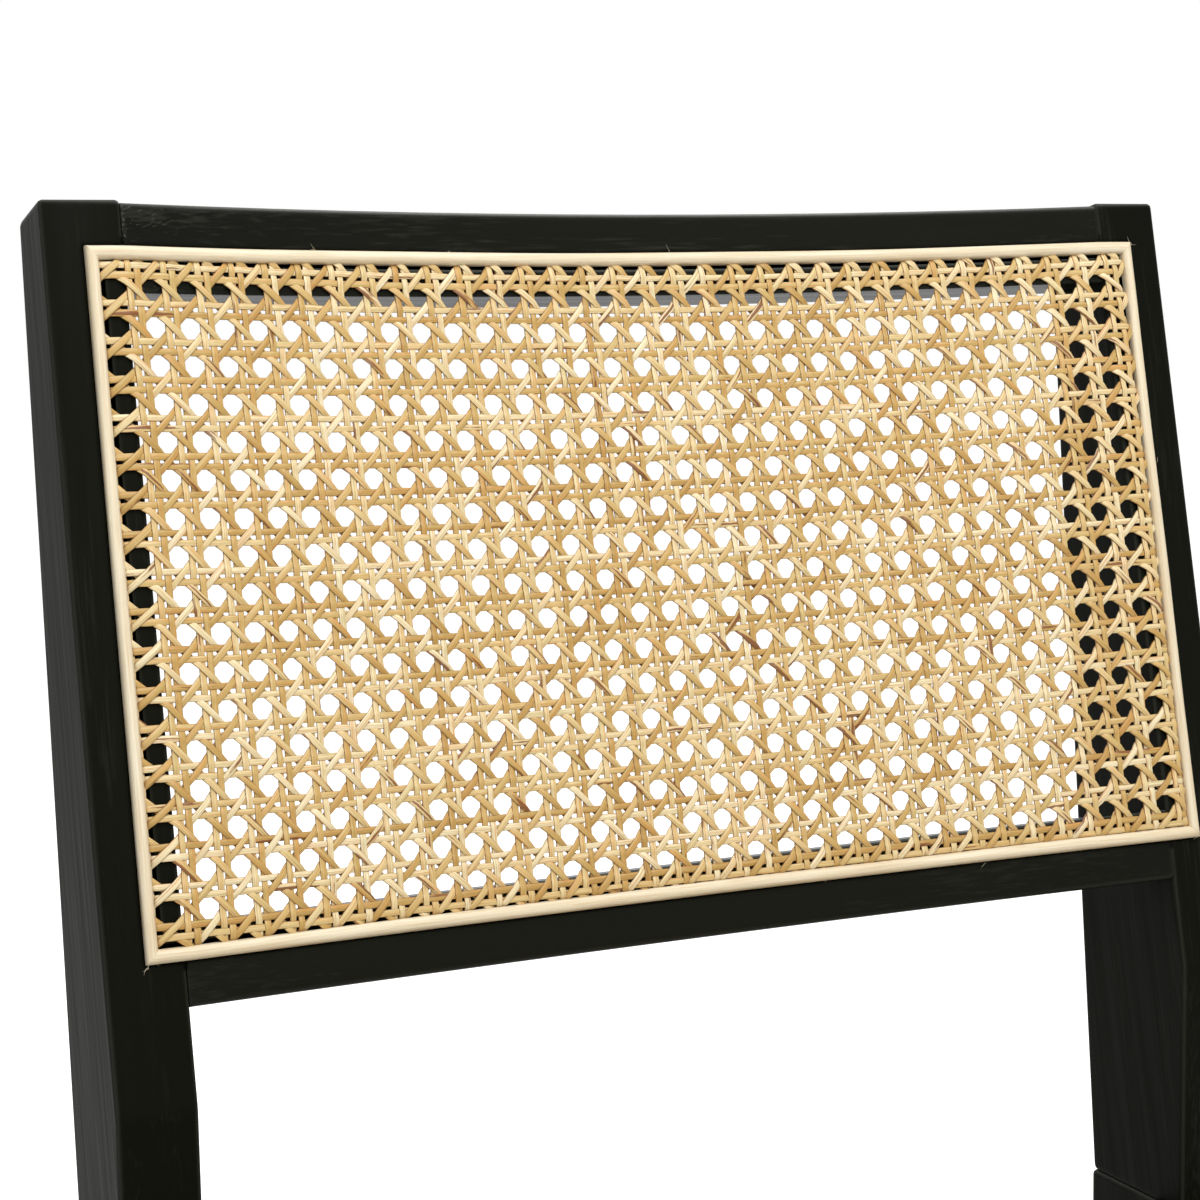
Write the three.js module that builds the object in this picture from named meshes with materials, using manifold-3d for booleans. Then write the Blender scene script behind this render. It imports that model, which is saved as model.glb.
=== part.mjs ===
// A dining chair with a reclined cane back and a cane seat in a black painted wooden frame.
// Lengths are in millimetres and angles in degrees. X runs to the right as seen from the front,
// Y runs backward and Z up, so the sitter faces -Y. The origin is on the floor, under the
// middle of the chair.
import * as THREE from "three";
import { mergeVertices } from "three/addons/utils/BufferGeometryUtils.js";
import Module from "manifold-3d";

const wasm = await Module();
wasm.setup();

// Whole chair
const overallWidth = 460;
const legWidth = 28;
const seatHeight = 455;
const seatTilt = 3.5;
const backRecline = 15;

// Back frame: two posts and two rails, curved in plan
const backFrameHeight = 276;
const backRailThickness = 22;
const topRailHeight = 32;
const bottomRailHeight = 28;
const backSag = 15;
const backFacets = 14;
const postTopRise = 1;
const postTopDepth = 34;
const postFootDepth = 61;
const kneeDrop = 34;
const postFootLength = 103;

// Cane and the splines that hold it
const splineWidth = 4.8;
const splineCrown = 2.6;
const splineShoulder = 1;
const splineArcSteps = 4;
const grooveDepth = 6;
const caneThickness = 1.2;
const caneTurnDown = 4;
const postGrooveInset = 14;
const backGrooveInset = 15.5;
const seatGrooveLap = 16;
const caneGapShare = 0.64;
const backCaneRows = 7;
const seatCaneColumns = 10;
const seatCaneRows = 9;

// Seat frame
const seatFront = 405;
const seatReach = 20;
const seatRailWidth = 58;
const seatRailThickness = 20;
const seatCornerRadius = 10;

// Legs and aprons
const legProud = 1.2;
const legKneeDrop = 14;
const rearFootSetBack = 44;
const rearFootDepth = 32;
const frontLegReveal = 3;
const frontLegDepth = 44;
const frontFootDepth = 30;
const apronHeight = 50;
const apronThickness = 22;
const apronReveal = 2;

// Joinery
const jointGap = 0.3;
const cutOverrun = 2;
const tenonThicknessShare = 1 / 3;
const tenonShoulder = 5;
const tenonLengthShare = 0.55;
const crossTenonLengthShare = 0.3;
const seatTenonLength = 14;
const seatTenonShoulder = 10;

// Rounded edges
const arris = 1.5;
const arrisSteps = 2;
const cornerRadius = 2.5;
const cornerSteps = 3;

// Corner blocks
const blockLeg = 56;
const blockTip = 8;
const blockThickness = 24;
const blockScrewIn = 14;
const blockScrewAlong = 26;
const blockScrewOut = 38;

// Hardware
const dowelRadius = 5;
const dowelLength = 44;
const dowelPlaceShares = [0.18, 0.84];
const boltPlaceShare = 0.51;
const boltRadius = 4;
const boltHeadRadius = 7.2;
const boltHeadHeight = 5.3;
const boltReach = 20;
const washerRadius = 8.5;
const washerThickness = 1.6;
const insertRadius = 6.5;
const insertLength = 22;
const pocketDrop = 38;
const pocketHeight = 22;
const pocketWall = 5;
const screwRadius = 2;
const screwHeadRadius = 4;
const screwHeadHeight = 2.6;
const screwTipLength = 4;
const screwGrip = 14;
const screwBite = 11;
const roundSides = 12;
const screwSides = 8;
const glideHeight = 4;
const glideRadius = 10;
const glideChamfer = 1;
const glideStemRadius = 2.5;
const glideStemLength = 10;

const weld = 0.001;

const degrees = THREE.MathUtils.degToRad;
const halfWidth = overallWidth / 2;
const legInner = halfWidth - legWidth;
const legMiddle = halfWidth - legWidth / 2;

// Materials
const paint = { color: 0x1c1d1a, roughness: 0.45, metalness: 0 };
const rawWood = { color: 0xb08a5c, roughness: 0.7, metalness: 0 };
const cane = { color: 0xd9b77c, roughness: 0.6, metalness: 0 };
const reed = { color: 0xecdcb8, roughness: 0.5, metalness: 0 };
const steel = { color: 0x9a9c9e, roughness: 0.35, metalness: 1 };
const brass = { color: 0xb59a54, roughness: 0.4, metalness: 1 };
const nylon = { color: 0x202020, roughness: 0.6, metalness: 0 };

// Solids

// The same surface with its vertices welded, no collapsed faces, and its faces pointing out
function closed(geometry) {
  const bare = new THREE.BufferGeometry();
  bare.setAttribute("position", geometry.getAttribute("position"));
  bare.setIndex(geometry.getIndex());
  const welded = mergeVertices(bare, weld);
  const corners = Array.from(welded.getIndex().array);
  const faces = [];
  for (let i = 0; i < corners.length; i += 3) {
    const [a, b, c] = corners.slice(i, i + 3);
    if (a !== b && b !== c && c !== a) faces.push(a, b, c);
  }
  welded.setIndex(signedVolume(welded, faces) < 0 ? faces.reverse() : faces);
  return welded;
}

function signedVolume(geometry, faces) {
  const position = geometry.getAttribute("position");
  const [a, b, c] = [new THREE.Vector3(), new THREE.Vector3(), new THREE.Vector3()];
  let volume = 0;
  for (let i = 0; i < faces.length; i += 3) {
    a.fromBufferAttribute(position, faces[i]);
    b.fromBufferAttribute(position, faces[i + 1]);
    c.fromBufferAttribute(position, faces[i + 2]);
    volume += a.dot(b.cross(c)) / 6;
  }
  return volume;
}

function toSolid(geometry) {
  const welded = closed(geometry);
  const vertProperties = new Float32Array(welded.getAttribute("position").array);
  const triVerts = new Uint32Array(welded.getIndex().array);
  return new wasm.Manifold(new wasm.Mesh({ numProp: 3, vertProperties, triVerts }));
}

function toGeometry(solid) {
  const mesh = solid.getMesh();
  const geometry = new THREE.BufferGeometry();
  geometry.setAttribute("position", new THREE.BufferAttribute(mesh.vertProperties, 3));
  geometry.setIndex(new THREE.BufferAttribute(mesh.triVerts, 1));
  return geometry;
}

function cut(body, cutters) {
  return toGeometry(cutters.reduce((solid, cutter) => solid.subtract(toSolid(cutter)), toSolid(body)));
}

function join(body, additions) {
  return toGeometry(additions.reduce((solid, more) => solid.add(toSolid(more)), toSolid(body)));
}

function mirrored(geometry) {
  return closed(geometry.clone().scale(-1, 1, 1));
}

// A block between two opposite corners
function block(low, high) {
  const [x, y, z] = high.map((value, axis) => value - low[axis]);
  const middle = high.map((value, axis) => (value + low[axis]) / 2);
  return new THREE.BoxGeometry(x, y, z).translate(...middle);
}

// A block that also has its mirror image on the other side of the chair
function pairOfBlocks(low, high) {
  return [block(low, high), block([-high[0], low[1], low[2]], [-low[0], high[1], high[2]])];
}

// A round bar or hole from one point towards another
function rod(start, end, radius, sides = roundSides) {
  const along = new THREE.Vector3().subVectors(end, start);
  const bar = new THREE.CylinderGeometry(radius, radius, along.length(), sides);
  bar.translate(0, along.length() / 2, 0);
  return pointed(bar, start, along);
}

// A shape drawn from the origin up the Y axis, turned to start at a point and run along a direction
function pointed(geometry, start, along) {
  const turn = new THREE.Quaternion();
  turn.setFromUnitVectors(new THREE.Vector3(0, 1, 0), along.clone().normalize());
  return geometry.applyQuaternion(turn).translate(start.x, start.y, start.z);
}

// A turned piece: its profile is given as [radius, distance] and starts and ends on the axis
function turned(profile, sides) {
  return closed(new THREE.LatheGeometry(profile.map(([r, y]) => new THREE.Vector2(r, y)), sides));
}

// An outline whose corners are rounded
function roundedOutline(corners, radius) {
  const shape = new THREE.Shape();
  const points = corners.map(([x, y]) => new THREE.Vector2(x, y));
  points.forEach((corner, i) => {
    const before = points[(i + points.length - 1) % points.length];
    const after = points[(i + 1) % points.length];
    const arrive = before.clone().sub(corner).setLength(radius).add(corner);
    const leave = after.clone().sub(corner).setLength(radius).add(corner);
    if (i === 0) shape.moveTo(arrive.x, arrive.y);
    else shape.lineTo(arrive.x, arrive.y);
    shape.quadraticCurveTo(corner.x, corner.y, leave.x, leave.y);
  });
  shape.closePath();
  return shape;
}

// A board with eased edges: its outline is extruded by the thickness, from zero
function easedBoard(shape, thickness, ease, steps) {
  return new THREE.ExtrudeGeometry(shape, {
    depth: thickness - 2 * ease,
    bevelSize: ease,
    bevelThickness: ease,
    bevelOffset: -ease,
    bevelSegments: steps,
    curveSegments: cornerSteps,
  }).translate(0, 0, ease);
}

// A leg or post on the right of the chair, from its outline in side view, [y, z]
function legBoard(outline) {
  const board = easedBoard(roundedOutline(outline, cornerRadius), legWidth, arris, arrisSteps);
  const sideView = new THREE.Matrix4().makeBasis(
    new THREE.Vector3(0, 1, 0),
    new THREE.Vector3(0, 0, 1),
    new THREE.Vector3(1, 0, 0),
  );
  return board.applyMatrix4(sideView).translate(legInner, 0, 0);
}

// A body through rings of points that all have the section's outline, closed by flat ends
function loft(section, rings) {
  const count = section.length;
  const flat = section.map(([x, y]) => new THREE.Vector2(x, y));
  const turn = Math.sign(THREE.ShapeUtils.area(flat));
  const cap = THREE.ShapeUtils.triangulateShape(flat, []).map((face) => {
    const facing = Math.sign(THREE.ShapeUtils.area(face.map((i) => flat[i])));
    return facing === turn ? face : face.toReversed();
  });
  const last = (rings.length - 1) * count;
  const faces = cap.flatMap(([a, b, c]) => [c, b, a, last + a, last + b, last + c]);
  for (let r = 0; r + 1 < rings.length; r++) {
    for (let i = 0; i < count; i++) {
      const [a, b] = [r * count + i, r * count + ((i + 1) % count)];
      faces.push(a, b, b + count, a, b + count, a + count);
    }
  }
  const geometry = new THREE.BufferGeometry().setFromPoints(rings.flat());
  geometry.setIndex(faces);
  return closed(geometry);
}

// Frames of the seat and of the back

// The seat frame's origin is the top front edge of the rear legs, where the posts stand
const tilt = degrees(seatTilt);
const recline = degrees(backRecline);
const legTopHeight = seatHeight - seatFront * Math.sin(tilt);

const seatGroup = new THREE.Group();
seatGroup.rotation.x = -tilt;
seatGroup.position.z = legTopHeight;
seatGroup.updateMatrixWorld();

// The back frame's origin is the middle of the back, in the plane of the posts' front faces
const bottomEdge = -backFrameHeight / 2;
const topEdge = backFrameHeight / 2;
const kneeHeight = bottomEdge - kneeDrop;
const footTurn = recline - tilt;
const postFoot = new THREE.Vector2(
  postFootLength * Math.sin(footTurn),
  kneeHeight - postFootLength * Math.cos(footTurn),
);
const postHeel = new THREE.Vector2(postFootDepth, 0)
  .rotateAround(new THREE.Vector2(), footTurn)
  .add(postFoot);

const backGroup = new THREE.Group();
backGroup.rotation.x = -recline;
const footInWorld = postFoot.clone().rotateAround(new THREE.Vector2(), -recline);
backGroup.position.set(0, -footInWorld.x, legTopHeight - footInWorld.y);
backGroup.updateMatrixWorld();

const seatToBack = backGroup.matrixWorld.clone().invert().multiply(seatGroup.matrixWorld);
const worldToSeat = seatGroup.matrixWorld.clone().invert();

// A point of the side view, [y, z] from the floor up, in the seat's frame
function inSeat(y, z) {
  const point = new THREE.Vector3(0, y, z).applyMatrix4(worldToSeat);
  return [point.y, point.z];
}

// Cane panels

// How far the rails' front faces lie behind the posts' front faces
const arcRadius = (legInner ** 2 + backSag ** 2) / (2 * backSag);

function arcDepth(x) {
  if (Math.abs(x) >= legInner) return 0;
  return backSag - arcRadius + Math.sqrt(arcRadius ** 2 - x ** 2);
}

function evenSteps(from, to, count) {
  return Array.from({ length: count + 1 }, (_, i) => from + ((to - from) * i) / count);
}

const arcStations = evenSteps(-legInner, legInner, backFacets);

// Across and up the panel, then proud of the wood towards the sitter
const backPanel = {
  halfWidth: halfWidth - postGrooveInset,
  halfHeight: topEdge - backGrooveInset,
  bends: arcStations,
  stations: arcStations,
  rows: evenSteps(bottomEdge + bottomRailHeight, topEdge - topRailHeight, backCaneRows),
  place: (u, v, proud) => new THREE.Vector3(u, arcDepth(u) - proud, v),
};

const seatOpeningWidth = overallWidth - 2 * seatRailWidth;
const seatOpeningDepth = seatFront + seatReach - 2 * seatRailWidth;
const seatOpeningMiddle = (seatReach - seatFront) / 2;
const seatPanel = {
  halfWidth: seatOpeningWidth / 2 + seatGrooveLap,
  halfHeight: seatOpeningDepth / 2 + seatGrooveLap,
  bends: [],
  stations: evenSteps(-seatOpeningWidth / 2, seatOpeningWidth / 2, seatCaneColumns),
  rows: evenSteps(-seatOpeningDepth / 2, seatOpeningDepth / 2, seatCaneRows),
  place: (u, v, proud) => new THREE.Vector3(u, seatOpeningMiddle + v, proud),
};

// From the spline's outer edge inward the groove holds the spline, then the cane's turned edge
const caneOuterInset = splineWidth + jointGap;
const caneInnerInset = caneOuterInset + caneThickness;
const grooveInnerInset = caneInnerInset + jointGap;

// The cane: a sheet with an opening in each cell, its edge turned down into the groove
function canePanel(panel) {
  const outerU = panel.halfWidth - caneOuterInset;
  const outerV = panel.halfHeight - caneOuterInset;
  const columns = [-outerU, caneThickness - outerU, ...panel.stations, outerU - caneThickness, outerU];
  const rows = [-outerV, caneThickness - outerV, ...panel.rows, outerV - caneThickness, outerV];
  const top = jointGap + caneThickness;
  const points = [];
  const quad = (a, b, c, d) => points.push(a, b, c, a, c, d);
  const depthOf = (i, j) => {
    const outside = i < 0 || j < 0 || i > columns.length - 2 || j > rows.length - 2;
    if (outside) return top;
    const rim = i === 0 || j === 0 || i === columns.length - 2 || j === rows.length - 2;
    return rim ? -caneTurnDown : jointGap;
  };
  const isOpen = (i, j) => i > 1 && j > 1 && i < columns.length - 3 && j < rows.length - 3;
  for (let i = 0; i + 1 < columns.length; i++) {
    for (let j = 0; j + 1 < rows.length; j++) {
      const corner = (k, l, proud) => panel.place(columns[i + k], rows[j + l], proud);
      const low = depthOf(i, j);
      if (isOpen(i, j)) {
        openCell(columns.slice(i, i + 2), rows.slice(j, j + 2), low, top, panel, quad, points);
      } else {
        quad(corner(0, 0, top), corner(1, 0, top), corner(1, 1, top), corner(0, 1, top));
        quad(corner(0, 0, low), corner(0, 1, low), corner(1, 1, low), corner(1, 0, low));
      }
      const [left, below] = [depthOf(i - 1, j), depthOf(i, j - 1)];
      if (left !== low) quad(corner(0, 0, low), corner(0, 0, left), corner(0, 1, left), corner(0, 1, low));
      if (below !== low) quad(corner(0, 0, below), corner(0, 0, low), corner(1, 0, low), corner(1, 0, below));
      const [right, above] = [depthOf(i + 1, j), depthOf(i, j + 1)];
      if (right === top) quad(corner(1, 0, top), corner(1, 0, low), corner(1, 1, low), corner(1, 1, top));
      if (above === top) quad(corner(0, 1, low), corner(0, 1, top), corner(1, 1, top), corner(1, 1, low));
    }
  }
  return closed(new THREE.BufferGeometry().setFromPoints(points));
}

// One cell of the cane with an eight-sided opening
function openCell([u0, u1], [v0, v1], low, top, panel, quad, points) {
  const middle = [(u0 + u1) / 2, (v0 + v1) / 2];
  const reach = [((u1 - u0) / 2) * caneGapShare, ((v1 - v0) / 2) * caneGapShare];
  const eighth = Math.PI / 4;
  const slope = Math.tan(eighth / 2);
  const signs = [
    [1, slope], [slope, 1], [-slope, 1], [-1, slope],
    [-1, -slope], [-slope, -1], [slope, -1], [1, -slope],
  ];
  const rim = (k, proud) => {
    const [a, b] = signs[k % signs.length];
    return panel.place(middle[0] + a * reach[0], middle[1] + b * reach[1], proud);
  };
  const corners = [[u1, v1], [u0, v1], [u0, v0], [u1, v0]];
  const corner = (k, proud) => panel.place(...corners[k % corners.length], proud);
  for (let k = 0; k < corners.length; k++) {
    const first = 2 * k;
    points.push(corner(k, top), rim(first + 1, top), rim(first, top));
    points.push(corner(k, low), rim(first, low), rim(first + 1, low));
    quad(corner(k, top), corner(k + 1, top), rim(first + 2, top), rim(first + 1, top));
    quad(corner(k, low), rim(first + 1, low), rim(first + 2, low), corner(k + 1, low));
  }
  for (let k = 0; k < signs.length; k++) {
    quad(rim(k, top), rim(k + 1, top), rim(k + 1, low), rim(k, low));
  }
}

// Section of a spline, [inset, proud]: square in the groove and crowned above the wood
const splineSection = [
  [0, jointGap - grooveDepth],
  [splineWidth, jointGap - grooveDepth],
  ...evenSteps(0, Math.PI, splineArcSteps).map((angle) => [
    (splineWidth / 2) * (1 + Math.cos(angle)),
    splineShoulder + (splineCrown - splineShoulder) * Math.sin(angle),
  ]),
];

// One side of a panel's spline, mitred at both ends; it runs across the panel or up it
function spline(panel, runsAcross, side) {
  const { halfWidth: halfU, halfHeight: halfV } = panel;
  const stops = runsAcross ? panel.bends : [];
  const rings = [-Infinity, ...stops, Infinity].map((stop) =>
    splineSection.map(([inset, proud]) => {
      if (runsAcross) {
        const u = THREE.MathUtils.clamp(stop, inset - halfU, halfU - inset);
        return panel.place(u, side * (halfV - inset), proud);
      }
      const v = THREE.MathUtils.clamp(stop, inset - halfV, halfV - inset);
      return panel.place(side * (halfU - inset), v, proud);
    }),
  );
  return loft(splineSection, rings);
}

// The groove round a panel on flat wood, as four overlapping cutters
function grooveCutters(panel) {
  const outer = [panel.halfWidth + jointGap, panel.halfHeight + jointGap];
  const inner = [panel.halfWidth - grooveInnerInset, panel.halfHeight - grooveInnerInset];
  const cutter = (u0, u1, v0, v1) => {
    const ends = [panel.place(u0, v0, -grooveDepth), panel.place(u1, v1, cutOverrun)];
    const [low, high] = [ends[0].clone().min(ends[1]), ends[0].clone().max(ends[1])];
    return block(low.toArray(), high.toArray());
  };
  return [-1, 1].flatMap((side) => [
    cutter(side * inner[0], side * outer[0], -outer[1], outer[1]),
    cutter(-outer[0], outer[0], side * inner[1], side * outer[1]),
  ]);
}

// Back rails

// Points of a quarter circle round a centre, starting at an angle
function quarterCircle([x, y], radius, from) {
  return evenSteps(from, from + Math.PI / 2, cornerSteps).map((angle) => [
    x + radius * Math.cos(angle),
    y + radius * Math.sin(angle),
  ]);
}

// A curved rail with its groove; insets count from its outer edge and depths from its front
function backRail(side, height) {
  const r = cornerRadius;
  const grooveStart = backGrooveInset - jointGap;
  const grooveEnd = backGrooveInset + grooveInnerInset;
  const section = [
    ...quarterCircle([r, r], r, Math.PI),
    [grooveStart, 0],
    [grooveStart, grooveDepth],
    [grooveEnd, grooveDepth],
    [grooveEnd, 0],
    [height, 0],
    ...quarterCircle([height - r, backRailThickness - r], r, 0),
    ...quarterCircle([r, backRailThickness - r], r, Math.PI / 2),
  ];
  const shoulder = legInner - jointGap;
  const rings = arcStations.map((station) => {
    const u = THREE.MathUtils.clamp(station, -shoulder, shoulder);
    return section.map(
      ([inset, depth]) => new THREE.Vector3(u, arcDepth(u) + depth, side * (topEdge - inset)),
    );
  });
  return join(loft(section, rings), pairOfBlocks(...backTenon(side, height, 0)));
}

// Corners of a back rail's tenon on the right, or of its mortise when grown by a gap
function backTenon(side, height, growth) {
  const thickness = backRailThickness * tenonThicknessShare;
  const front = grooveDepth + (backRailThickness - grooveDepth - thickness) / 2;
  const edges = [tenonShoulder, height - tenonShoulder].map((inset) => side * (topEdge - inset));
  const root = growth ? legInner - cutOverrun : legInner - thickness;
  const end = legInner + legWidth * tenonLengthShare + growth;
  return [
    [root, front - growth, Math.min(...edges) - growth],
    [end, front + thickness + growth, Math.max(...edges) + growth],
  ];
}

// Posts

const dowelPlaces = dowelPlaceShares.map((share) => postFootDepth * share);
const boltPlace = postFootDepth * boltPlaceShare;

// A round bar or hole along the middle of a leg and post, between two heights above the joint
function upright(y, foot, top, radius) {
  return rod(new THREE.Vector3(legMiddle, y, foot), new THREE.Vector3(legMiddle, y, top), radius);
}

// The right post: it tapers upward from its foot and has its knee under the back
function backPost() {
  const outline = [
    [0, topEdge + postTopRise],
    [0, kneeHeight],
    postFoot.toArray(),
    postHeel.toArray(),
    [postTopDepth, topEdge + postTopRise],
  ];
  const mortises = [
    block(...backTenon(1, topRailHeight, jointGap)),
    block(...backTenon(-1, bottomRailHeight, jointGap)),
  ];
  const dowelTop = dowelLength / 2 + jointGap;
  const holes = [
    ...dowelPlaces.map((y) => upright(y, -cutOverrun, dowelTop, dowelRadius + jointGap)),
    upright(boltPlace, -cutOverrun, insertLength + jointGap, insertRadius + jointGap),
  ].map((hole) => hole.applyMatrix4(seatToBack));
  return cut(legBoard(outline), [...mortises, ...grooveCutters(backPanel), ...holes]);
}

// Places of the seat frame, the aprons and the legs

const seatRailUnderside = -seatRailThickness;
const rearSeatRailEdge = seatReach - seatRailWidth;
const apronTop = seatRailUnderside - jointGap;
const apronFoot = apronTop - apronHeight;
const sideApronInner = halfWidth - apronReveal - apronThickness;
const frontLegFace = frontLegReveal - seatFront;
const frontLegBack = frontLegFace + frontLegDepth;
const frontApronFace = frontLegFace + apronReveal;
const rearApronFace = seatReach - apronReveal - apronThickness;
const legKnee = apronFoot - legKneeDrop;
const legTop = -jointGap;

// The feet stand on the glides; these places count from the rear legs' front edge at the seat
const rearFootBack = postFootDepth * Math.cos(tilt) + rearFootSetBack;
const rearFootMiddle = rearFootBack - rearFootDepth / 2;
const frontFootFace = frontLegFace * Math.cos(tilt) + apronTop * Math.sin(tilt);
const frontFootMiddle = frontFootFace + frontFootDepth / 2;

// Corner blocks and their screws, on the right of the chair

const blockMiddle = apronTop - blockThickness / 2;

// The block's place: the inner face of the front or rear apron, and which way the block runs
function blockCorner(crossFace, toward, legFace) {
  const screws = {
    seat: {
      at: new THREE.Vector3(
        sideApronInner - blockScrewIn,
        crossFace + toward * blockScrewAlong,
        seatRailUnderside,
      ),
      along: new THREE.Vector3(0, 0, 1),
    },
    side: {
      at: new THREE.Vector3(sideApronInner, crossFace + toward * blockScrewOut, blockMiddle),
      along: new THREE.Vector3(1, 0, 0),
    },
    cross: {
      at: new THREE.Vector3(sideApronInner - blockScrewOut, crossFace, blockMiddle),
      along: new THREE.Vector3(0, -toward, 0),
    },
  };
  return { crossFace, toward, legFace, screws };
}

const frontCorner = blockCorner(frontApronFace + apronThickness, 1, frontLegBack);
const rearCorner = blockCorner(rearApronFace, -1, -legProud);
const blockCorners = { front: frontCorner, rear: rearCorner };

// A hole on a screw's line; distances count from the face that the screw enters
function screwHole({ at, along }, from, to, radius) {
  const [start, end] = [from, to].map((distance) => at.clone().addScaledVector(along, distance));
  return rod(start, end, radius + jointGap, screwSides);
}

function pilotHole(screw) {
  return screwHole(screw, -cutOverrun, screwBite + jointGap, screwRadius);
}

// A three-sided block in the corner of two aprons, notched where the leg stands in its way
function cornerBlock({ crossFace, toward, legFace, screws }) {
  const start = crossFace + toward * jointGap;
  const end = start + toward * blockLeg;
  const side = sideApronInner - jointGap;
  const legSide = legInner - jointGap;
  const legEnd = legFace + toward * jointGap;
  const notched = toward * (legFace - crossFace) > 0;
  const corner = notched ? [[side, legEnd], [legSide, legEnd], [legSide, start]] : [[side, start]];
  const outline = [
    [side - blockLeg, start],
    [side - blockLeg, start + toward * blockTip],
    [side - blockTip, end],
    [side, end],
    ...corner,
  ];
  const shape = new THREE.Shape(outline.map(([x, y]) => new THREE.Vector2(x, y)));
  const body = new THREE.ExtrudeGeometry(shape, { depth: blockThickness, bevelEnabled: false });
  const holes = Object.values(screws).flatMap((screw) => [
    screwHole(screw, -screwGrip - cutOverrun, cutOverrun, screwRadius),
    screwHole(screw, -screwGrip - blockLeg, -screwGrip, screwHeadRadius),
  ]);
  return cut(body.translate(0, 0, apronTop - blockThickness), holes);
}

function woodScrew({ at, along }) {
  const length = screwGrip + screwBite;
  const profile = [
    [0, -screwHeadHeight],
    [screwHeadRadius, -screwHeadHeight],
    [screwHeadRadius, 0],
    [screwRadius, 0],
    [screwRadius, length - screwTipLength],
    [0, length],
  ];
  const seat = at.clone().addScaledVector(along, -screwGrip);
  return pointed(turned(profile, screwSides), seat, along);
}

// Seat frame

// A flat rail of the seat frame, from its outline in plan
function seatBoard(shape) {
  const board = easedBoard(shape, seatRailThickness, arris, arrisSteps);
  return board.translate(0, 0, seatRailUnderside);
}

// Corners of a seat rail's tenon on the right, or of its mortise when grown by a gap
function seatTenon(frontEdge, growth) {
  const half = (seatRailThickness * tenonThicknessShare) / 2;
  const middle = -(grooveDepth + seatRailThickness) / 2;
  const inner = seatOpeningWidth / 2;
  const root = inner - (growth ? cutOverrun : seatTenonLength);
  const rearEdge = frontEdge + seatRailWidth;
  return [
    [root, frontEdge + seatTenonShoulder - growth, middle - half - growth],
    [inner + seatTenonLength + growth, rearEdge - seatTenonShoulder + growth, middle + half + growth],
  ];
}

// The right seat rail, notched round the rear leg
function sideSeatRail() {
  const inner = seatOpeningWidth / 2;
  const notchSide = legInner - jointGap;
  const notchFront = -legProud - jointGap;
  const corner = seatCornerRadius;
  const shape = new THREE.Shape();
  shape.moveTo(inner, -seatFront);
  shape.lineTo(halfWidth - corner, -seatFront);
  shape.absarc(halfWidth - corner, corner - seatFront, corner, -Math.PI / 2, 0);
  shape.lineTo(halfWidth, notchFront);
  shape.lineTo(notchSide, notchFront);
  shape.lineTo(notchSide, seatReach);
  shape.lineTo(inner, seatReach);
  shape.closePath();
  return cut(seatBoard(shape), [
    ...grooveCutters(seatPanel),
    block(...seatTenon(-seatFront, jointGap)),
    block(...seatTenon(rearSeatRailEdge, jointGap)),
    pilotHole(frontCorner.screws.seat),
    pilotHole(rearCorner.screws.seat),
  ]);
}

// The front or rear seat rail, tenoned between the side rails
function crossSeatRail(frontEdge) {
  const half = seatOpeningWidth / 2 - jointGap;
  const rearEdge = frontEdge + seatRailWidth;
  const shape = new THREE.Shape();
  shape.moveTo(-half, frontEdge);
  shape.lineTo(half, frontEdge);
  shape.lineTo(half, rearEdge);
  shape.lineTo(-half, rearEdge);
  shape.closePath();
  const rail = join(seatBoard(shape), pairOfBlocks(...seatTenon(frontEdge, 0)));
  return cut(rail, grooveCutters(seatPanel));
}

// Aprons

const apronTenonThickness = apronThickness * tenonThicknessShare;
const apronTenonCheek = (apronThickness - apronTenonThickness) / 2;

// The tenons at both ends of a side apron, or their mortises when grown by a gap
function sideApronTenons(growth) {
  const length = legWidth * tenonLengthShare + growth;
  const root = growth ? cutOverrun : apronTenonThickness;
  const inner = sideApronInner + apronTenonCheek;
  const low = [inner - growth, apronFoot + tenonShoulder - growth];
  const high = [inner + apronTenonThickness + growth, apronTop - tenonShoulder + growth];
  return [
    block([low[0], frontLegBack - length, low[1]], [high[0], frontLegBack + root, high[1]]),
    block([low[0], -legProud - root, low[1]], [high[0], length - legProud, high[1]]),
  ];
}

// The tenons at both ends of a front or rear apron, or their mortises when grown by a gap
function crossApronTenons(face, growth) {
  const front = face + apronTenonCheek;
  const root = legInner - (growth ? cutOverrun : apronTenonThickness);
  const end = legInner + legWidth * crossTenonLengthShare + growth;
  return pairOfBlocks(
    [root, front - growth, apronFoot + tenonShoulder - growth],
    [end, front + apronTenonThickness + growth, apronTop - tenonShoulder + growth],
  );
}

function sideApron() {
  const body = block(
    [sideApronInner, frontLegBack + jointGap, apronFoot],
    [sideApronInner + apronThickness, -legProud - jointGap, apronTop],
  );
  const pilots = [pilotHole(frontCorner.screws.side), pilotHole(rearCorner.screws.side)];
  return cut(join(body, sideApronTenons(0)), pilots);
}

function crossApron(face, corner) {
  const half = legInner - jointGap;
  const body = block([-half, face, apronFoot], [half, face + apronThickness, apronTop]);
  const pilot = pilotHole(corner.screws.cross);
  return cut(join(body, crossApronTenons(face, 0)), [pilot, mirrored(pilot)]);
}

// Legs

// A glide's stem stands square to the floor
function glideHole(y) {
  const foot = new THREE.Vector3(legMiddle, y, 0);
  const top = new THREE.Vector3(legMiddle, y, glideHeight + glideStemLength + jointGap);
  return rod(foot, top, glideStemRadius + jointGap, screwSides).applyMatrix4(worldToSeat);
}

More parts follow.
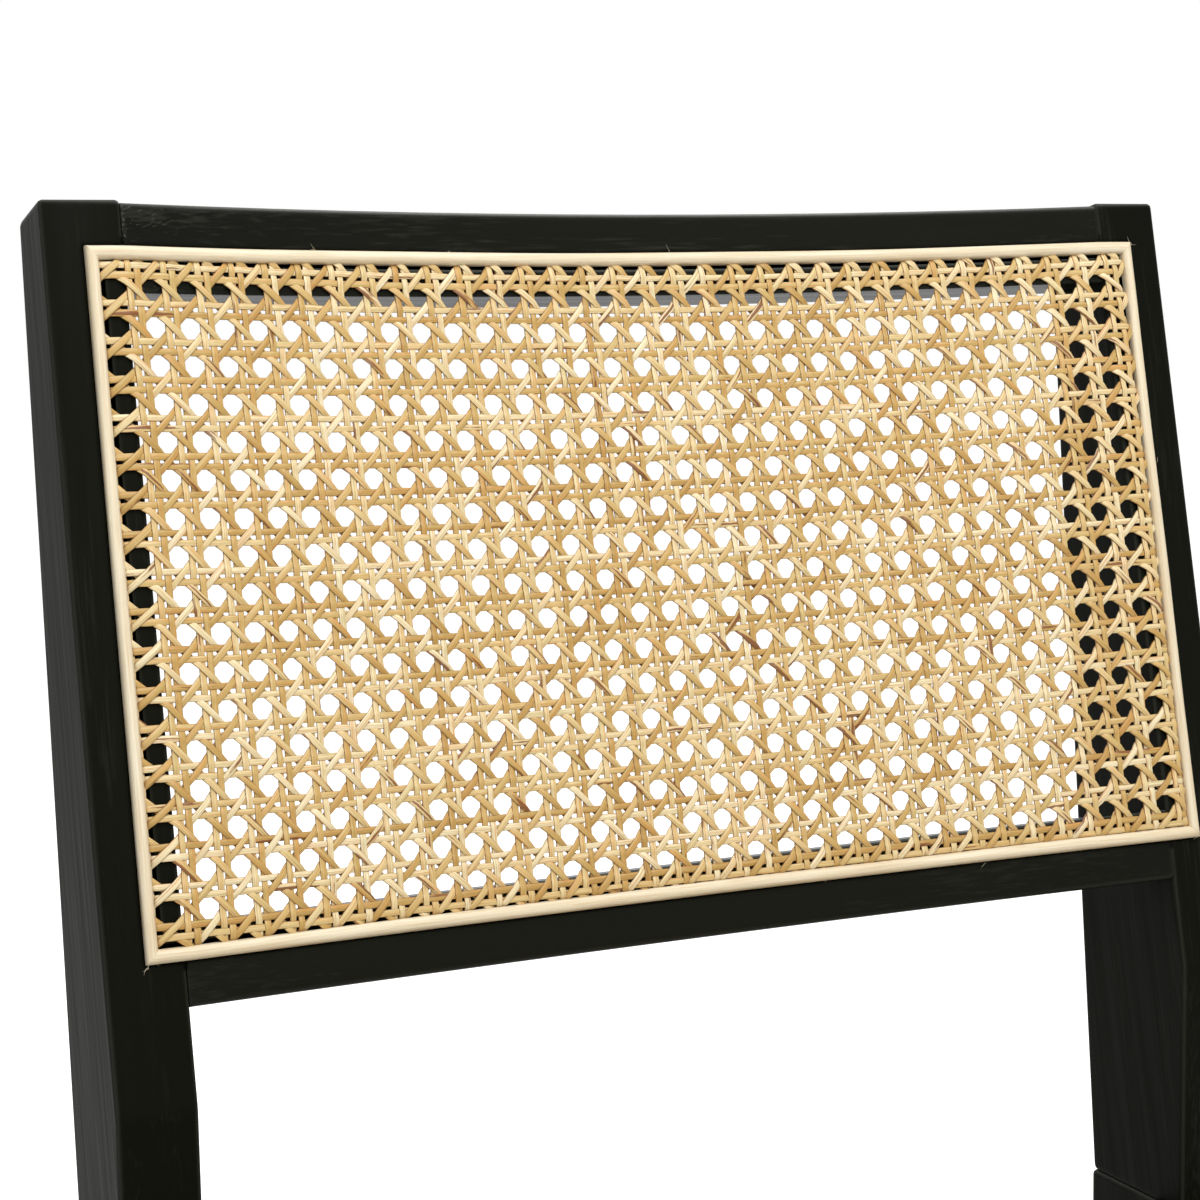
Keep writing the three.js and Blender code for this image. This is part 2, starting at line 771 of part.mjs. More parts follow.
// The right rear leg carries the post; below the aprons it tapers and rakes back
function rearLeg() {
  const back = postFootDepth + legProud;
  const outline = [
    [-legProud, legTop],
    [-legProud, legKnee],
    inSeat(rearFootBack - rearFootDepth, glideHeight),
    inSeat(rearFootBack, glideHeight),
    [back, legKnee],
    [back, legTop],
  ];
  const pocketReach = washerRadius + jointGap;
  const pocket = block(
    [legInner - cutOverrun, boltPlace - pocketReach, -pocketDrop - pocketHeight],
    [halfWidth - pocketWall, boltPlace + pocketReach, -pocketDrop],
  );
  const dowelFoot = -dowelLength / 2 - jointGap;
  return cut(legBoard(outline), [
    ...sideApronTenons(jointGap),
    ...crossApronTenons(rearApronFace, jointGap),
    pocket,
    ...dowelPlaces.map((y) => upright(y, dowelFoot, cutOverrun, dowelRadius + jointGap)),
    upright(boltPlace, -pocketDrop - cutOverrun, cutOverrun, boltRadius + jointGap),
    glideHole(rearFootMiddle),
  ]);
}

// The right front leg: its front edge is upright and its back edge tapers below the aprons
function frontLeg() {
  const outline = [
    [frontLegFace, apronTop],
    inSeat(frontFootFace, glideHeight),
    inSeat(frontFootFace + frontFootDepth, glideHeight),
    [frontLegBack, legKnee],
    [frontLegBack, apronTop],
  ];
  return cut(legBoard(outline), [
    ...sideApronTenons(jointGap),
    ...crossApronTenons(frontApronFace, jointGap),
    glideHole(frontFootMiddle),
  ]);
}

// Hardware between post and rear leg

function postBolt() {
  const under = -pocketDrop - washerThickness;
  const profile = [
    [0, under - boltHeadHeight],
    [boltHeadRadius, under - boltHeadHeight],
    [boltHeadRadius, under],
    [boltRadius, under],
    [boltRadius, boltReach],
    [0, boltReach],
  ];
  const start = new THREE.Vector3(legMiddle, boltPlace, 0);
  return pointed(turned(profile, roundSides), start, new THREE.Vector3(0, 0, 1));
}

// A round sleeve that the bolt passes through
function boltSleeve(foot, top, radius) {
  const bore = upright(boltPlace, foot - cutOverrun, top + cutOverrun, boltRadius + jointGap);
  return cut(upright(boltPlace, foot, top, radius), [bore]);
}

function glide(y) {
  const shoulder = glideHeight + glideStemLength;
  const profile = [
    [0, 0],
    [glideRadius - glideChamfer, 0],
    [glideRadius, glideChamfer],
    [glideRadius, glideHeight],
    [glideStemRadius, glideHeight],
    [glideStemRadius, shoulder],
    [0, shoulder],
  ];
  const foot = new THREE.Vector3(legMiddle, y, 0);
  return pointed(turned(profile, roundSides), foot, new THREE.Vector3(0, 0, 1));
}

// Assembly

function add(group, name, geometry, look) {
  const mesh = new THREE.Mesh(closed(geometry), new THREE.MeshStandardMaterial(look));
  mesh.name = name;
  group.add(mesh);
}

// A piece on the right and its mirror image on the left
function addPair(group, name, geometry, look) {
  add(group, `${name}_right`, geometry, look);
  add(group, `${name}_left`, mirrored(geometry), look);
}

const floorGroup = new THREE.Group();

addPair(backGroup, "back_post", backPost(), paint);
add(backGroup, "top_back_rail", backRail(1, topRailHeight), paint);
add(backGroup, "bottom_back_rail", backRail(-1, bottomRailHeight), paint);
add(backGroup, "back_cane_panel", canePanel(backPanel), cane);
add(backGroup, "back_spline_top", spline(backPanel, true, 1), reed);
add(backGroup, "back_spline_bottom", spline(backPanel, true, -1), reed);
addPair(backGroup, "back_spline", spline(backPanel, false, 1), reed);

addPair(seatGroup, "rear_leg", rearLeg(), paint);
addPair(seatGroup, "front_leg", frontLeg(), paint);
addPair(seatGroup, "side_apron", sideApron(), paint);
add(seatGroup, "front_apron", crossApron(frontApronFace, frontCorner), paint);
add(seatGroup, "rear_apron", crossApron(rearApronFace, rearCorner), paint);
addPair(seatGroup, "side_seat_rail", sideSeatRail(), paint);
add(seatGroup, "front_seat_rail", crossSeatRail(-seatFront), paint);
add(seatGroup, "rear_seat_rail", crossSeatRail(rearSeatRailEdge), paint);
add(seatGroup, "seat_cane_panel", canePanel(seatPanel), cane);
add(seatGroup, "seat_spline_front", spline(seatPanel, true, -1), reed);
add(seatGroup, "seat_spline_rear", spline(seatPanel, true, 1), reed);
addPair(seatGroup, "seat_spline", spline(seatPanel, false, 1), reed);

for (const [place, corner] of Object.entries(blockCorners)) {
  addPair(seatGroup, `corner_block_${place}`, cornerBlock(corner), rawWood);
  for (const [target, screw] of Object.entries(corner.screws)) {
    addPair(seatGroup, `block_screw_${place}_${target}`, woodScrew(screw), steel);
  }
}

const dowelEnd = dowelLength / 2;
dowelPlaces.forEach((y, i) => {
  const dowel = upright(y, -dowelEnd, dowelEnd, dowelRadius);
  addPair(seatGroup, `post_dowel_${["front", "rear"][i]}`, dowel, rawWood);
});
const washer = boltSleeve(-pocketDrop - washerThickness, -pocketDrop, washerRadius);
addPair(seatGroup, "post_bolt", postBolt(), steel);
addPair(seatGroup, "post_bolt_washer", washer, steel);
addPair(seatGroup, "post_bolt_insert", boltSleeve(0, insertLength, insertRadius), brass);

addPair(floorGroup, "front_glide", glide(frontFootMiddle), nylon);
addPair(floorGroup, "rear_glide", glide(rearFootMiddle), nylon);

// The whole chair stands with its bounding box's bottom centre on the origin
const frame = new THREE.Group();
frame.add(backGroup, seatGroup, floorGroup);
frame.updateMatrixWorld(true);
const bounds = new THREE.Box3().setFromObject(frame, true);
const middle = bounds.getCenter(new THREE.Vector3());
frame.position.set(-middle.x, -middle.y, -bounds.min.z);

const chair = new THREE.Group();
chair.name = "rattan_dining_chair";
chair.add(frame);

export default chair;
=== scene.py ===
import math

import bmesh
import bpy
import numpy as np
from mathutils import Matrix, Vector


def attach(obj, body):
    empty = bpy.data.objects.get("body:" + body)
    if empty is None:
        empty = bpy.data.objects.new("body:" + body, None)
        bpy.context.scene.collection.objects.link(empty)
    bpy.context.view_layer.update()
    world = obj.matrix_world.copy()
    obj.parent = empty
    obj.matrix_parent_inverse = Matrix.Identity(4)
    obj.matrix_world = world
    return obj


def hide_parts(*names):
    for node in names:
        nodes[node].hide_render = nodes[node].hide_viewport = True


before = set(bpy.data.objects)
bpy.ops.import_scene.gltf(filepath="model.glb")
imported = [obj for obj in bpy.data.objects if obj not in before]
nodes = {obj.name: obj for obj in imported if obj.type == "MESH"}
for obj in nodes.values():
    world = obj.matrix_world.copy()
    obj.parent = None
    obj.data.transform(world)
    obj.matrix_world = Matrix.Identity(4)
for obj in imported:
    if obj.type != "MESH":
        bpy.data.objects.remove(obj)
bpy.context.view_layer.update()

chance = np.random.default_rng(7)

# Lengths in metres. The back and the seat each have a frame of their own: across the
# chair, then up the back or toward the rear of the seat.
BACK_PLACE = Vector((0.0, 0.192685, 0.699222))
BACK_TURN = math.radians(-15.0)
SEAT_PLACE = Vector((0.0, 0.141880, 0.430275))
SEAT_TURN = math.radians(-3.5)
SEAT_MIDDLE = -0.1925

# Half the length of a back rail between the posts, and how deep its curve is
BACK_CLEAR_HALF = 0.202
BACK_SAG = 0.015
ARC_RADIUS = (BACK_CLEAR_HALF**2 + BACK_SAG**2) / (2 * BACK_SAG)

# Width of the splines at the sides, and of those across the top and bottom; the gap outside
# them; and their foot, edge and crown over the frame's face
SPLINE_WIDTH = np.array([0.0044, 0.0049])
SPLINE_MARGIN = 0.0002
SPLINE_BASE = -0.0008
SPLINE_EDGE = 0.0004
SPLINE_CROWN = 0.0029
SPLINE_RINGS = 90
CROWN_POINTS = 11
CROWN_FULLNESS = 0.8

# Cane, from one opening to the next. The places of the pairs and the slants' shift are shares
# of that; spacings are from strand to strand of a pair
CANE_COLUMN = 0.01265
CANE_ROW = 0.0133
UPRIGHT_PLACE = 0.529
UPRIGHT_SPACING = 0.00315
UPRIGHT_WIDTH = 0.00244
LEVEL_PLACE = 0.473
LEVEL_SPACING = 0.0036
LEVEL_WIDTH = 0.00236
SLANT_SHIFT = (0.012, -0.014)
SLANT_WIDTH = 0.00244
MOST_OPENINGS = 22

# Heights over the frame's face, how far strands rise or drop where they cross, and how
# steeply and softly they bend there
CANE_LIFT = 0.00122
CANE_THICKNESS = 0.00068
WEAVE_STEP = 0.00036
SLANT_STEP = 0.00068
STEEP_SHARE = 0.38
BEND_LENGTH = 0.0012
BEND_END = 0.0008

# A slant's way over and under the others from one opening to the next: place, then height
SLANT_TURNS = [
    (0.0, 1),
    (0.17, 1),
    (0.25, 0),
    (0.33, -1),
    (0.5, -1),
    (0.67, -1),
    (0.75, 0),
    (0.83, 1),
]

# How strands wander, and how they dive under the splines
SLOW_SWAY = 0.00011
QUICK_SWAY = 0.00007
DIVE_REACH = 0.0032
DIVE_DEPTH = 0.0009
UNDER_SPLINE = 0.0016
END_CLEAR = 0.0003

# Points over which a strand's run is looked for, and the fewest of them that make a strand
RUN_POINTS = np.linspace(-60, 60, 24001)
FEWEST_POINTS = 60

# Distances inside the splines, and how fully the cane is drawn outward or hangs there
DRAWN_LEFT = ([0.002, 0.0105], [1, 0])
DRAWN_RIGHT = ([0.0014, 0.005, 0.0105], [0.4, 1, 0])
HUNG = ([0.008, 0.014], [1, 0])

# A strand's map counts tenths of a metre along it. Across, each strand has a number of its
# own, and takes this share of the way to the next, from this edge on
MAP_SCALE = 10
MAP_FILL = 0.9
MAP_EDGE = 0.05

# Loose hairs of reed
HAIR_THICKNESS = 0.00006
HAIR_REACH = 0.0036
HAIR_FOOT = 0.0012
HAIR_SCATTER = 0.0005
HAIR_RINGS = 9
HAIR_SIDES = 4

# Painted pieces: the joint gap that a rail's shoulder closes, and the least angle of an edge
# that stays sharp
SHOULDER_GAP = 0.0006
SHARP_EDGE = math.radians(50)
MERGE_DISTANCE = 0.00001

# Where the streak of stained strands crosses the back, and how steeply it falls. Strands are
# numbered as they are laid, the falling slants last, in the back from about this number
STREAK_HEIGHT = 0.722
STREAK_FALL = 1.4
FIRST_FALLING = 155

# A strand's section, flat underneath and rounded on top: across, then up
CANE_SECTION = np.array(
    [(-0.5, -0.5), (0.5, -0.5), (0.465, 0.15), (0.22, 0.5), (-0.22, 0.5), (-0.465, 0.15)]
)


def arc_depth(u):
    """How far behind the posts' front faces the curved back lies."""
    inside = np.clip(np.abs(u), 0, BACK_CLEAR_HALF)
    return BACK_SAG - ARC_RADIUS + np.sqrt(ARC_RADIUS**2 - inside**2)


def place_on_back(u, v, proud):
    """Points of the back, across, up and proud of its curve, in the chair."""
    local = np.stack([u, arc_depth(u) - proud, v], axis=-1)
    return turned_into_chair(local, BACK_TURN, BACK_PLACE)


def place_on_seat(u, v, proud):
    """Points of the seat, across, toward the rear and proud of it, in the chair."""
    local = np.stack([u, SEAT_MIDDLE + v, proud], axis=-1)
    return turned_into_chair(local, SEAT_TURN, SEAT_PLACE)


def turned_into_chair(local, turn, place):
    matrix = np.array(Matrix.Rotation(turn, 3, "X"))
    return local @ matrix.T + np.array(place)


# Each panel: its mapping, the outer half sizes of its splines, the place of one opening, and
# how far the stretched cane leans, bows and twists from there, per opening; then how far it is
# drawn outward at its left and right, and hangs inward in the middle of its bottom and top
PANELS = {
    "back": dict(
        place=place_on_back,
        half=(0.216, 0.1225),
        first=(-0.002735, -0.00124),
        lean=(-0.000124, -0.000063),
        bow=(-0.0000124, 0.00000535),
        twist=-0.0000043,
        drawn=(0.0024, 0.0018),
        slack=(0.0007, 0.0009),
    ),
    "seat": dict(
        place=place_on_seat,
        half=(0.188, 0.1705),
        first=(0.0, 0.0),
        lean=(0.000035, 0.00002),
        bow=(0.0000015, -0.000002),
        twist=0.0000012,
        drawn=(0.0010, 0.0010),
        slack=(0.0003, 0.0003),
    ),
}


def clear_half(panel):
    """The half sizes inside the splines."""
    return np.array(panel["half"]) - SPLINE_WIDTH - SPLINE_MARGIN


def cane_point(panel, x, y):
    """Where the stretched cane lies, x and y counted in openings from the first one."""
    u = panel["first"][0] + CANE_COLUMN * x + panel["lean"][0] * y + panel["bow"][0] * y * y
    v = panel["first"][1] + CANE_ROW * y + panel["lean"][1] * x + panel["bow"][1] * x * x
    u = u + panel["twist"] * x * y
    half_u, half_v = clear_half(panel)
    from_side, from_end = half_u - np.abs(u), half_v - np.abs(v)
    left = panel["drawn"][0] * np.interp(from_side, *DRAWN_LEFT)
    right = panel["drawn"][1] * np.interp(from_side, *DRAWN_RIGHT)
    hung = np.where(v < 0, *panel["slack"]) * (1 - (u / half_u) ** 2)
    hung = hung * np.interp(from_end, *HUNG)
    return np.stack([u + np.where(u < 0, -left, right), v - np.sign(v) * hung], axis=-1)


# Meshes


def finished(name, bm, material):
    """The bmesh as a piece of the chair, with its place in its mesh."""
    mesh = bpy.data.meshes.new(name)
    bm.to_mesh(mesh)
    bm.free()
    return as_piece(name, mesh, material)


def as_piece(name, mesh, material):
    """The mesh as a piece that rides on the chair, which is one body."""
    mesh.shade_smooth()
    mesh.materials.clear()
    mesh.materials.append(material)
    piece = bpy.data.objects.new(name, mesh)
    bpy.context.scene.collection.objects.link(piece)
    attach(piece, "root")
    return piece


def keep_sharp_edges(bm):
    """Marks the edges that smooth shading leaves sharp."""
    for edge in bm.edges:
        if len(edge.link_faces) == 2 and edge.calc_face_angle(0) > SHARP_EDGE:
            edge.smooth = False


# Bars by their counts of rings and sides, each made once
BARS = {}


def round_bar(rings, sides):
    """A closed bar cut into rings, with each vertex's ring and side."""
    if (rings, sides) not in BARS:
        bm = bmesh.new()
        bmesh.ops.create_cone(
            bm, cap_ends=True, segments=sides, radius1=1, radius2=1, depth=rings - 1
        )
        upright = [e for e in bm.edges if abs(e.verts[0].co.z - e.verts[1].co.z) > 0.5]
        bmesh.ops.subdivide_edges(bm, edges=upright, cuts=rings - 2)
        mesh = bpy.data.meshes.new("bar")
        bm.to_mesh(mesh)
        bm.free()
        co = np.zeros(len(mesh.vertices) * 3)
        mesh.vertices.foreach_get("co", co)
        co = co.reshape(-1, 3)
        ring = np.rint(co[:, 2] + (rings - 1) / 2).astype(int)
        side = np.rint(np.arctan2(co[:, 0], co[:, 1]) / (2 * math.pi / sides)).astype(int) % sides
        BARS[(rings, sides)] = (mesh, ring, side)
    return BARS[(rings, sides)]


def bundle(name, bars, place, material):
    """Bars as one piece. Each bar gives its vertices on the panel and their map, in ring order."""
    bm = bmesh.new()
    points, maps = [], []
    for at, along in bars:
        mesh, ring, side = round_bar(*at.shape[:2])
        bm.from_mesh(mesh)
        points.append(at[ring, side])
        maps.append(along[ring, side])
    points, maps = np.concatenate(points), np.concatenate(maps)
    mesh = bpy.data.meshes.new(name)
    bm.to_mesh(mesh)
    bm.free()
    mesh.vertices.foreach_set("co", place(*points.T).ravel())
    layer = mesh.uv_layers.new(name="strand")
    corner = np.zeros(len(mesh.loops), dtype=int)
    mesh.loops.foreach_get("vertex_index", corner)
    layer.data.foreach_set("uv", maps[corner].ravel())
    bm = bmesh.new()
    bm.from_mesh(mesh)
    bmesh.ops.recalc_face_normals(bm, faces=bm.faces)
    keep_sharp_edges(bm)
    bm.to_mesh(mesh)
    bm.free()
    return as_piece(name, mesh, material)


# Woven cane


def strand(line, width, heights, number, half):
    """A strand of cane along points (u, v) of a panel, with its height at each."""
    line = np.asarray(line)
    run = np.gradient(line, axis=0)
    run /= np.linalg.norm(run, axis=1)[:, None]
    across = np.stack([run[:, 1], -run[:, 0]], axis=-1)
    reach = np.concatenate([[0], np.cumsum(np.linalg.norm(np.diff(line, axis=0), axis=1))])
    sway = SLOW_SWAY * np.sin(reach * chance.uniform(60, 190) + chance.uniform(0, 6))
    sway += QUICK_SWAY * np.sin(reach * chance.uniform(250, 420) + chance.uniform(0, 6))
    line = line + across * sway[:, None]
    width = width * chance.uniform(0.93, 1.07)
    width = width * (1 + 0.035 * np.sin(reach * chance.uniform(90, 240)))
    border = np.minimum(half[0] - np.abs(line[:, 0]), half[1] - np.abs(line[:, 1]))
    dive = np.clip(1 - border / DIVE_REACH, 0, 2) ** 1.6 * DIVE_DEPTH
    tall = CANE_LIFT + heights - dive
    sides = CANE_SECTION[None, :, :]
    centre = line[:, None, :] + across[:, None, :] * sides[..., 0:1] * width[:, None, None]
    rise = tall[:, None] + sides[..., 1] * CANE_THICKNESS
    at = np.concatenate([centre, rise[..., None]], axis=-1)
    v = number + 0.5 + MAP_FILL * sides[..., 0] + np.zeros_like(rise)
    along = np.stack([np.broadcast_to(reach[:, None], rise.shape) * MAP_SCALE, v], axis=-1)
    return at, along


def crossing(place, spacing, step, sense):
    """Heights where a strand passes under one strand of a pair and over the other."""
    pair, rest = spacing / 2, step / 2
    slope, flat = pair * STEEP_SHARE, pair + BEND_LENGTH
    heights = [
        (-rest, 0.0),
        (-flat - BEND_END, 0.0),
        (-flat, -0.55),
        (-pair, -1.0),
        (-slope, -0.45),
        (slope, 0.45),
        (pair, 1.0),
        (flat, 0.55),
        (flat + BEND_END, 0.0),
    ]
    return [(place + at / step, height * sense) for at, height in heights]


def cane_run(panel, reach, cell, path, heights):
    """Points and heights along a strand, from one side of the groove to the other."""
    inside = np.all(np.abs(cane_point(panel, *path(RUN_POINTS))) <= reach, axis=-1)
    if inside.sum() < FEWEST_POINTS:
        return None
    low, high = RUN_POINTS[inside][[0, -1]]
    cells = np.arange(math.floor(low) - 1, math.ceil(high) + 1)
    at = (cells[:, None] + np.array([place for place, _ in heights])).ravel()
    share = np.tile([height for _, height in heights], len(cells))
    keep = (at > low + END_CLEAR / cell) & (at < high - END_CLEAR / cell)
    ends = np.interp([low, high], at, share)
    at = np.concatenate([[low], at[keep], [high]])
    share = np.concatenate([ends[:1], share[keep], ends[1:]])
    return cane_point(panel, *path(at)), share


def weave(panel_name):
    """The uprights, levels and slants of a panel's cane, as three pieces."""
    panel = PANELS[panel_name]
    half = clear_half(panel)
    reach = half + UNDER_SPLINE
    uprights, levels, slants = [], [], []
    number = 0

    def lay(strands, width, cell, path, heights, step):
        nonlocal number
        run = cane_run(panel, reach, cell, path, heights)
        if run is not None:
            strands.append(strand(run[0], width, run[1] * step, number, half))
            number += 1

    for count in range(-MOST_OPENINGS, MOST_OPENINGS):
        for side in (-1, 1):
            x = count + UPRIGHT_PLACE + side * UPRIGHT_SPACING / 2 / CANE_COLUMN
            heights = crossing(LEVEL_PLACE, LEVEL_SPACING, CANE_ROW, -side)
            lay(uprights, UPRIGHT_WIDTH, CANE_ROW, lambda t: (x, t), heights, WEAVE_STEP)
    for count in range(-MOST_OPENINGS, MOST_OPENINGS):
        for side in (-1, 1):
            y = count + LEVEL_PLACE + side * LEVEL_SPACING / 2 / CANE_ROW
            heights = crossing(UPRIGHT_PLACE, UPRIGHT_SPACING, CANE_COLUMN, side)
            lay(levels, LEVEL_WIDTH, CANE_COLUMN, lambda t: (t, y), heights, WEAVE_STEP)
    for slope in (1, -1):
        heights = [(place, height * slope) for place, height in SLANT_TURNS]
        for count in range(-2 * MOST_OPENINGS, 2 * MOST_OPENINGS):
            lay(
                slants,
                SLANT_WIDTH,
                CANE_COLUMN,
                lambda t: (t, slope * (t - SLANT_SHIFT[0]) + count + 0.5 + SLANT_SHIFT[1]),
                heights,
                SLANT_STEP,
            )
    for kind, strands in (("uprights", uprights), ("levels", levels), ("slants", slants)):
        piece = bundle(f"{panel_name}_cane_{kind}", strands, panel["place"], CANE)
        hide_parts(f"{panel_name}_cane_panel")


# Splines


def spline(panel_name, across, side, node, number):
    """A half-round reed in its groove, mitred at both ends."""
    panel = PANELS[panel_name]
    half_u, half_v = (size - SPLINE_MARGIN for size in panel["half"])
    crown = [
        (0.5 - 0.5 * math.cos(a), max(math.sin(a), 0) ** CROWN_FULLNESS)
        for a in np.linspace(0, math.pi, CROWN_POINTS)
    ]
    section = [(0.0, None), (1.0, None)] + crown[::-1]
    reach = (half_u if across else half_v) + 0.01
    stops = np.linspace(-reach, reach, SPLINE_RINGS)
    at = np.zeros((SPLINE_RINGS, len(section), 3))
    along = np.zeros((SPLINE_RINGS, len(section), 2))
    swell = 1 + 0.03 * np.sin(stops * 61 + number) + 0.02 * np.sin(stops * 173 + 2 * number)
    for m, (share, height) in enumerate(section):
        inset_u, inset_v = share * SPLINE_WIDTH
        lean = 0.0001 * np.sin(stops * 47 + number) * (1 if height else 0)
        rise = SPLINE_BASE
        if height is not None:
            rise = SPLINE_EDGE + (SPLINE_CROWN - SPLINE_EDGE) * height * swell
        limit = half_u - inset_u if across else half_v - inset_v
        run = np.clip(stops, -limit, limit)
        over = side * (half_v - inset_v if across else half_u - inset_u) + lean
        at[:, m, 0], at[:, m, 1] = (run, over) if across else (over, run)
        at[:, m, 2] = rise
        along[:, m, 0] = run * MAP_SCALE
        along[:, m, 1] = number + MAP_EDGE + MAP_FILL * share
    piece = bundle(node, [(at, along)], panel["place"], SPLINE)
    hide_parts(node)


def loose_hair(u, v, number):
    """A hair of reed that curls off a spline near (u, v) and thins toward its end."""
    turn = chance.uniform(0, 2 * math.pi)
    length = chance.uniform(0.35, 1.0) * HAIR_REACH
    curl = chance.uniform(-1.6, 1.6)
    t = np.linspace(0, 1, HAIR_RINGS)
    heading = turn + curl * t
    steps = np.stack([np.cos(heading), np.sin(heading)], axis=-1)
    run = np.cumsum(steps, axis=0) * length / HAIR_RINGS
    start = np.array([u, v]) + chance.normal(0, HAIR_SCATTER, 2)
    lift = HAIR_FOOT + chance.uniform(0.0, 0.0014) + length * chance.uniform(-0.05, 0.45) * t
    thick = HAIR_THICKNESS * (1 - 0.75 * t)[:, None]
    around = np.linspace(0, 2 * math.pi, HAIR_SIDES + 1)[:-1]
    across = np.stack([-np.sin(heading), np.cos(heading)], axis=-1)[:, None, :]
    at = np.zeros((HAIR_RINGS, HAIR_SIDES, 3))
    at[..., :2] = start + run[:, None, :] + across * (np.cos(around) * thick)[..., None]
    at[..., 2] = lift[:, None] + np.sin(around) * thick
    along = np.zeros((HAIR_RINGS, HAIR_SIDES, 2))
    along[..., 0] = (t * length * MAP_SCALE)[:, None]
    along[..., 1] = number + 0.5
    return at, along


def loose_hairs(name, ends, number):
    """Hairs on the back's splines where they were cut or scraped: across, up and how many."""
    hairs = [loose_hair(u, v, number) for u, v, count in ends for _ in range(count)]
    bundle(name, hairs, place_on_back, SPLINE)


# Painted wood and fittings


def eased_copy(node, material, slot, tight=False):
    """The node's solid with its rounded edges shaded round; tight brings shoulders to the posts."""
    bm = bmesh.new()
    bm.from_mesh(nodes[node].data)
    bmesh.ops.remove_doubles(bm, verts=bm.verts, dist=MERGE_DISTANCE)
    if tight:
        for vert in bm.verts:
            if 0 < BACK_CLEAR_HALF - abs(vert.co.x) < SHOULDER_GAP:
                vert.co.x = math.copysign(BACK_CLEAR_HALF, vert.co.x)
    keep_sharp_edges(bm)
    piece = finished(f"{node}_finished", bm, material)
    even = piece.modifiers.new("even_shading", "WEIGHTED_NORMAL")
    even.keep_sharp = True
    even.weight = 90
    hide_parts(node)


# Materials

# Samples of the shader nodes that look round a point, the radius that they give an arris, how
# deep the cane's painted shade looks into the crevices, and from where to where the groove's edge
# is spared the lighter arris
LOOK_SAMPLES = {"samples": 6}
ARRIS_RADIUS = 0.0026
CREVICE_SHADE_REACH = 0.0016
GROOVE_EDGE = (0.0026, 0.0036)

# How strongly pores, arrises (paint worn thin, and a painted highlight) and stains show
PORE_WEAR = 0.7
ARRIS_THINNING_AND_HIGHLIGHT_SHARE = 0.8
STAIN_DEPTH = 0.92


